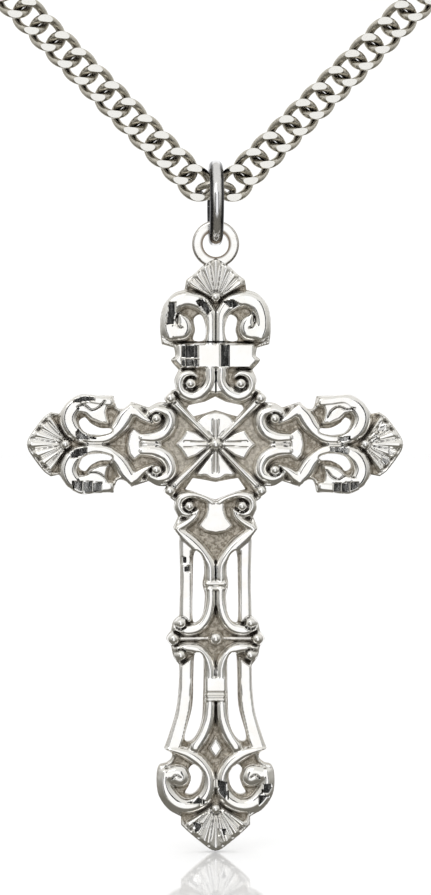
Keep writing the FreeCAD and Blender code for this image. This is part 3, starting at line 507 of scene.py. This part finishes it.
def loop_distance(x, z, loop):
    """Distance to a closed polygon, positive inside."""
    nearest = np.full(x.shape, 1e9)
    for start, end in zip(loop, np.roll(loop, -1, axis=0)):
        nearest = np.minimum(nearest, segment_reach(x, z, start, end)[0])
    return np.where(inside(x, z, loop), nearest, -nearest)


class Relief:
    """Heights on a square grid that covers the cross."""

    def __init__(self, low, high, cell):
        self.cell = cell
        self.low = np.array(low, float)
        across = np.arange(low[0], high[0] + cell, cell)
        up = np.arange(low[1], high[1] + cell, cell)
        self.x, self.z = np.meshgrid(across, up, indexing="ij")
        self.height = np.zeros(self.x.shape)

    def patch(self, points, margin):
        """The part of the grid that is within margin of the points."""
        spots = np.array([p[:2] for p in points], float)
        first = np.floor((spots.min(0) - margin - self.low) / self.cell).astype(int).clip(0)
        last = np.ceil((spots.max(0) + margin - self.low) / self.cell).astype(int) + 1
        return slice(first[0], last[0]), slice(first[1], last[1])

    def stroke(self, points, widen=1.0):
        """The patch round a smooth line that has its half width at each point, and how far each spot
        is from the line as a share of that half width."""
        path = smooth_path(points) * (1, 1, widen)
        area = self.patch(path, path[:, 2].max() + self.cell)
        x, z = self.x[area], self.z[area]
        share = np.full(x.shape, 1e9)
        for start, end in zip(path, path[1:]):
            distance, along = segment_reach(x, z, start, end)
            share = np.minimum(share, distance / (start[2] + along * (end[2] - start[2])))
        return area, share

    def strap(self, points, top=STRAP, squareness=3.0, widen=1.22):
        """A rounded strap along a smooth line."""
        area, share = self.stroke(points, widen)
        rise = top * np.sqrt(np.clip(1 - share ** squareness, 0, None))
        self.height[area] = np.maximum(self.height[area], rise)

    def bead(self, x, z, radius, foot=0.42):
        """A half ball on a short round foot, with a narrow moat cut round it."""
        area = self.patch([(x, z)], radius + 0.3)
        distance = np.hypot(self.x[area] - x, self.z[area] - z)
        moat = 0.24 + np.clip((distance - radius - 0.06) / 0.12, 0, None)
        self.height[area] = np.minimum(self.height[area], moat)
        ball = np.where(distance < radius, foot + np.sqrt(np.clip(radius ** 2 - distance ** 2, 0, None)), 0)
        self.height[area] = np.maximum(self.height[area], ball)

    def flat(self, points, top, bevel=0.12, tilt=(0, 0)):
        """A flat with bevelled sides; tilt is how much it rises per mm along x and z."""
        loop = np.array(points, float)
        area = self.patch(points, self.cell)
        x, z = self.x[area], self.z[area]
        middle = loop.mean(0)
        face = top + tilt[0] * (x - middle[0]) + tilt[1] * (z - middle[1])
        side = np.clip(loop_distance(x, z, loop) / bevel, 0, 1)
        self.height[area] = np.maximum(self.height[area], face * np.sqrt(side * (2 - side)))

    def bright_cut(self, points, top, tilt):
        """Strokes of a flat graver inside the outline, each tilted the same way."""
        loop = np.array(points, float)
        area = self.patch(points, self.cell)
        x, z = self.x[area], self.z[area]
        middle = loop.mean(0)
        step = (x - middle[0] + CUT_WIDTH / 2) % CUT_WIDTH - CUT_WIDTH / 2
        face = top + tilt[0] * step + tilt[1] * (z - middle[1])
        cut = inside(x, z, loop) & (self.height[area] > 0.3)
        self.height[area] = np.where(cut, np.minimum(self.height[area], face), self.height[area])

    def groove(self, points, depth):
        """A graver's line along a smooth line."""
        area, share = self.stroke(points)
        self.height[area] -= depth * np.clip(1 - share, 0, None)

    def palmette(self, root, heading, tip, half_width, shoulder, ribs=7):
        """A fan of rounded ribs that opens from its root to a pointed tip."""
        angle = math.radians(heading - 90)
        cos, sin = math.cos(angle), math.sin(angle)
        flank = [(half_width, shoulder), (0.92 * half_width, shoulder + 0.45),
                 (0.6 * half_width, 0.69 * tip), (0.22 * half_width, 0.92 * tip)]
        outline = flip_x(flank) + [(0, tip)] + flank[::-1] + [(0.35, -0.1), (-0.35, -0.1)]
        turned = [(root[0] + a * cos - b * sin, root[1] + a * sin + b * cos) for a, b in outline]
        area = self.patch(turned, self.cell)
        x, z = self.x[area] - root[0], self.z[area] - root[1]
        across, along = x * cos + z * sin, z * cos - x * sin
        spread = np.arctan2(across, along + 0.35) / math.radians(62)
        rib = np.abs((spread + 1) * ribs / 2 % 1 - 0.5) * 2
        reach = np.hypot(across, along)
        rise = 0.24 + 0.08 * np.clip(reach / tip, 0, 1) + 0.36 * (1 - rib ** 2)
        edge = loop_distance(self.x[area], self.z[area], np.array(turned)) - 0.14 * rib ** 2
        side = np.clip(edge / 0.15, 0, 1)
        self.height[area] = np.maximum(self.height[area], rise * np.sqrt(side * (2 - side)))

    def petal(self, heading, outline, top, dish):
        """A petal of the middle flower, dished to both sides of a ridge along its heading."""
        angle = math.radians(heading - 90)
        cos, sin = math.cos(angle), math.sin(angle)
        turned = [(a * cos - b * sin, a * sin + b * cos) for a, b in outline]
        area = self.patch(turned, self.cell)
        x, z = self.x[area], self.z[area]
        across, along = x * cos + z * sin, z * cos - x * sin
        ridge = np.clip(1 - np.abs(across) / 0.14, 0, 1) * 0.09 * np.clip((2.3 - along) / 1.2, 0, 1)
        side_ridge = np.clip(1 - np.abs(np.abs(across) - 0.42) / 0.13, 0, 1) * 0.02
        rise = top + ridge + side_ridge * np.clip((2.6 - along) / 1.4, 0, 1) + dish * np.abs(across)
        side = np.clip(loop_distance(x, z, np.array(turned)) / 0.12, 0, 1)
        self.height[area] = np.maximum(self.height[area], rise * np.sqrt(side * (2 - side)))

    def soften(self, passes=1):
        """Evens out the steps that the grid leaves on steep sides."""
        for _ in range(passes):
            for axis in (0, 1):
                before, after = np.roll(self.height, 1, axis), np.roll(self.height, -1, axis)
                self.height = 0.25 * before + 0.5 * self.height + 0.25 * after


def plate_loops():
    """The plate's outline and its openings, as closed polygons."""
    right = TOP_EDGE + ARM_EDGE + [flip_z(span)[::-1] for span in ARM_EDGE[::-1]] + LOWER_EDGE
    outline = []
    for span in right + [flip_x(span)[::-1] for span in right[::-1]]:
        path = smooth_path(span) if len(span) > 2 else np.array(span, float)
        outline.append(path[:-1])
    loops = [np.vstack(outline)]
    loops += [np.array(points, float) for points in AXIS_WINDOWS]
    for points in UPRIGHT_WINDOWS:
        loops += [smooth_loop(points), smooth_loop(flip_x(points))]
    loops += [smooth_loop(points) for points in four(ARM_WINDOW)]
    return loops


def metal_distance(relief, loops):
    """Distance of every spot from the nearest edge of the pierced plate, positive in the metal."""
    solid = inside(relief.x, relief.z, loops[0])
    distance = np.full(relief.x.shape, 1.5)
    for number, loop in enumerate(loops):
        if number:
            area = relief.patch(loop, relief.cell)
            solid[area] &= ~inside(relief.x[area], relief.z[area], loop)
        for start, end in zip(loop, np.roll(loop, -1, axis=0)):
            area = relief.patch([start, end], 1.5)
            found = segment_reach(relief.x[area], relief.z[area], start, end)[0]
            distance[area] = np.minimum(distance[area], found)
    return np.where(solid, distance, -distance)


def draw_relief(relief):
    """Everything that stands on the plate."""
    for name, points in UPRIGHT_STRAPS.items():
        squareness = 3.0 if "top" in name or "stem" in name else 2.0
        for copy in (points, flip_x(points)):
            relief.strap(copy, squareness=squareness)
    for name, points in ARM_STRAPS.items():
        for copy in four(points):
            relief.strap(copy, squareness=2.2 if name == "volute" else 3.0, widen=1.35)
    for copy in four(ARM_BLADE):
        relief.flat(copy, 0.6)
    for points, top in FLATS:
        relief.flat(points, top)
    for points in (BELL, flip_x(BELL)):
        relief.flat(points, 0.6)
    for points in (BELL_SLOT, flip_x(BELL_SLOT)):
        relief.flat(points, 0.3)
    for points in SIDE_BARS:
        relief.flat(points, 0.55, 0.1)
        relief.flat(flip_x(points), 0.55, 0.1)
    relief.petal(90, SECTOR, 0.34, 0.1)
    relief.petal(-90, SKIRT, 0.34, 0.1)
    relief.petal(0, ARROW, 0.32, 0.12)
    relief.petal(180, ARROW, 0.32, 0.12)
    for copy in four(ROD):
        relief.strap(copy, 0.62, 2.0)
    for copy in (BEAM, flip_x(BEAM)):
        relief.strap(copy, 0.3, 2.0)
    for points in COLLARS:
        relief.strap(points, 0.74, 2.2, 1.0)
    relief.palmette((0, 12.6), 90, 3.35, 2.45, 0.95)
    relief.palmette((12.9, 0), 0, 3.15, 2.4, 1.1)
    relief.palmette((-12.9, 0), 180, 3.15, 2.4, 1.1)
    relief.palmette((0, -31.15), -90, 3.6, 2.7, 1.1)
    for x, z, radius in AXIS_BEADS:
        relief.bead(x, z, radius)
    for x, z, radius in UPRIGHT_BEADS:
        relief.bead(x, z, radius)
        relief.bead(-x, z, radius)
    for copy in four([ARM_BEAD]):
        relief.bead(*copy[0])
    for x, z, radius in [ARM_TIP_BEAD] + flip_x([ARM_TIP_BEAD]):
        relief.bead(x, z, radius)


def carve(relief, outline, metal):
    """The whole relief: what stands on the plate, its raised lip, then the graver's work."""
    draw_relief(relief)
    lip = loop_distance(relief.x, relief.z, outline)
    relief.height = np.maximum(relief.height, 0.45 * np.sqrt(np.clip(1 - lip / 0.3, 0, 1)))
    relief.soften()
    for points, top, tilt in FACETS:
        relief.bright_cut(points, top, tilt)
    for points in GROOVES:
        relief.groove(points, 0.22)
    for points in PETAL_LINES:
        relief.groove(points, 0.10)
    rim = np.clip(metal / 0.16, 0, 1)
    relief.height -= 0.3 * (1 - rim) ** 2


def front_faces(relief, metal):
    """The front as points and quads: every cell of the grid whose middle is in the metal."""
    middle = 0.25 * (metal[:-1, :-1] + metal[1:, :-1] + metal[:-1, 1:] + metal[1:, 1:])
    cells = np.argwhere(middle > 0)
    cells_round = np.zeros(relief.x.shape, int)
    for across, up in CORNERS:
        np.add.at(cells_round, (cells[:, 0] + across, cells[:, 1] + up), 1)
    used = np.argwhere(cells_round > 0)
    numbers = np.full(relief.x.shape, -1)
    numbers[used[:, 0], used[:, 1]] = np.arange(len(used))
    faces = np.stack([numbers[cells[:, 0] + across, cells[:, 1] + up] for across, up in CORNERS], axis=1)

    # points beside the edge move onto it
    picked = tuple(used.T)
    x, z, distance = relief.x[picked], relief.z[picked], metal[picked]
    slope_x, slope_z = (slope[picked] for slope in np.gradient(metal, CELL))
    steep = np.maximum(np.hypot(slope_x, slope_z), 0.5)
    edge = cells_round[picked] < 4
    x = np.where(edge, x - distance * slope_x / steep ** 2, x)
    z = np.where(edge, z - distance * slope_z / steep ** 2, z)
    y = FLOOR_Y - relief.height[picked]
    return np.stack([x, y, z + CROSSING_Z], axis=1) * MM, faces


def close_behind(mesh):
    """Walls from every open edge to the back, and the flat back itself."""
    shape = bmesh.new()
    shape.from_mesh(mesh)
    rim = [e for e in shape.edges if e.is_boundary]
    for depth in (0.35 * BACK_Y, BACK_Y):
        walls = bmesh.ops.extrude_edge_only(shape, edges=rim)["geom"]
        for vert in (g for g in walls if isinstance(g, bmesh.types.BMVert)):
            vert.co.y = depth * MM
        rim = [g for g in walls if isinstance(g, bmesh.types.BMEdge) and g.is_boundary]
    bmesh.ops.triangle_fill(shape, use_beauty=True, use_dissolve=False, edges=rim, normal=Vector((0, 1, 0)))
    bmesh.ops.recalc_face_normals(shape, faces=shape.faces)
    for face in shape.faces:
        face.smooth = True
    shape.to_mesh(mesh)
    shape.free()
    mesh.set_sharp_from_angle(angle=math.radians(50))


def cross_mesh():
    """The pierced, moulded cross as one closed mesh with a flat back."""
    relief = Relief((-16.5, -35.2), (16.5, 16.5), CELL)
    loops = plate_loops()
    metal = metal_distance(relief, loops)
    carve(relief, loops[0][::4], metal)
    spots, faces = front_faces(relief, metal)
    mesh = bpy.data.meshes.new("cross_relief")
    mesh.from_pydata(spots.tolist(), [], faces.tolist())
    close_behind(mesh)
    return mesh


def place(mesh, name, body, slot, *nodes):
    """Puts a piece in the scene, on its body, in place of the CAD nodes it stands for."""
    piece = bpy.data.objects.new(name, mesh)
    bpy.context.scene.collection.objects.link(piece)
    mesh.materials.append(MATERIALS[slot])
    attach(piece, body)
    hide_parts(*nodes)


place(cross_mesh(), "cross_relief", "cross", "antiqued_silver", "cross_casting")


# ------------------------------------------------------------------ plain CAD pieces keep their shape
OWN_METAL = {"jump_ring": "jump_ring_metal", "hanging_loop": "loop_silver"}
for name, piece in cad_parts.items():
    if name != "cross_casting":
        dress(piece, OWN_METAL.get(name, "chain_metal" if "link" in name else "fitting_metal"))


# ------------------------------------------------------------------ floor, light and camera
def floor():
    """A pale, slightly glossy floor just under the tip of the cross."""
    m = Nodes("studio_floor")
    speck = m.noise(0.02, 3.0)
    m.bump(speck, 0.02, 0.2)
    m.feed(m.shader.inputs["Specular IOR Level"], 0.6)
    material = m.finish(m.mix(m.ramp(speck, 0.3, 0.7), (0.97, 0.97, 0.97), (0.99, 0.99, 0.99)), 0.06, 0.0)
    half, gap = 30.0, 0.15 * MM
    level = size_as_loaded[0].z - gap
    mesh = bpy.data.meshes.new("studio_floor")
    mesh.from_pydata([(-half, -half, level), (half, -half, level), (half, half, level),
                      (-half, half, level)], [], [(0, 1, 2, 3)])
    mesh.materials.append(material)
    piece = bpy.data.objects.new("studio_floor", mesh)
    piece.visible_glossy = False
    bpy.context.scene.collection.objects.link(piece)


def aimed(thing, spot, target):
    thing.location = spot
    thing.rotation_euler = (Vector(target) - Vector(spot)).to_track_quat("-Z", "Y").to_euler()
    bpy.context.scene.collection.objects.link(thing)


MIDDLE = Vector((0.0, 0.0, (CROSSING_Z - 0.35) * MM))


def soft_light(name, direction, distance, size, power):
    """A square soft box that looks at the pendant from this direction."""
    light = bpy.data.lights.new(name, "AREA")
    light.shape = "SQUARE"
    light.size = size
    light.energy = power
    aimed(bpy.data.objects.new(name, light), MIDDLE + Vector(direction).normalized() * distance, MIDDLE)


def mirrored_only(name, mesh, material):
    """A piece of the studio that nothing but reflections see."""
    mesh.materials.append(material)
    piece = bpy.data.objects.new(name, mesh)
    piece.visible_camera = False
    piece.visible_shadow = False
    piece.visible_diffuse = False
    return piece


def flag(name, direction):
    """A tall black card in front of the pendant, for the dark facets."""
    m = Nodes(name)
    m.finish((0.01, 0.01, 0.01, 1), 0.9, 0.0)
    width, height, distance = 0.1, 0.5, 0.5
    mesh = bpy.data.meshes.new(name)
    mesh.from_pydata([(-width / 2, -height / 2, 0), (width / 2, -height / 2, 0),
                      (width / 2, height / 2, 0), (-width / 2, height / 2, 0)], [], [(0, 1, 2, 3)])
    card = mirrored_only(name, mesh, m.material)
    aimed(card, MIDDLE + Vector(direction).normalized() * distance, MIDDLE)


def tent():
    """An open tube round the line of sight, pale above and dim below."""
    m = Nodes("tent")
    split = m.node("ShaderNodeSeparateXYZ")
    m.link(m.position, split.inputs["Vector"])
    lift = m.ramp(split.outputs["Z"], MIDDLE.z - 0.35, MIDDLE.z + 0.40)
    walls = m.mix(lift, (0.17, 0.16, 0.135), (0.80, 0.79, 0.76))
    mouth, end, radius, sides = -0.85, 0.5, 0.5, 48
    m.finish(m.mix(m.ramp(split.outputs["Y"], mouth, mouth + 0.4), (0.85, 0.85, 0.84), walls), 0.9, 0.0)
    ring = [(radius * math.cos(2 * math.pi * i / sides), radius * math.sin(2 * math.pi * i / sides))
            for i in range(sides)]
    mesh = bpy.data.meshes.new("tent")
    mesh.from_pydata([(x, y, z + MIDDLE.z) for y in (mouth, end) for x, z in ring],
                     [], [(i, (i + 1) % sides, (i + 1) % sides + sides, i + sides) for i in range(sides)])
    piece = mirrored_only("tent", mesh, m.material)
    bpy.context.scene.collection.objects.link(piece)


def studio():
    world = bpy.data.worlds.new("studio")
    bpy.context.scene.world = world
    world.use_nodes = True
    world.node_tree.nodes["Background"].inputs["Color"].default_value = (1, 1, 1, 1)
    world.node_tree.nodes["Background"].inputs["Strength"].default_value = 1.07
    soft_light("key", (-0.5, -1.0, 0.9), distance=0.6, size=0.35, power=0.4)
    tent()
    flag("flag_left", (-0.45, -1.0, 0.0))
    flag("flag_right", (0.45, -1.0, 0.0))
    bpy.context.scene.view_settings.view_transform = "Standard"


def main_camera():
    """Level with the middle of the view and nearly square to the cross."""
    data = bpy.data.cameras.new("camera")
    data.lens = 100.0
    data.sensor_width = 36.0
    camera = bpy.data.objects.new("camera", data)
    view_height = 76.8 * MM
    distance = view_height * data.lens / data.sensor_width
    aim = MIDDLE + Vector((0.0, 0.0, 0.07 * MM))
    turn = math.radians(-2.5)
    aimed(camera, aim + distance * Vector((math.sin(turn), -math.cos(turn), 0.0)), aim)
    bpy.context.scene.camera = camera


floor()
studio()
main_camera()
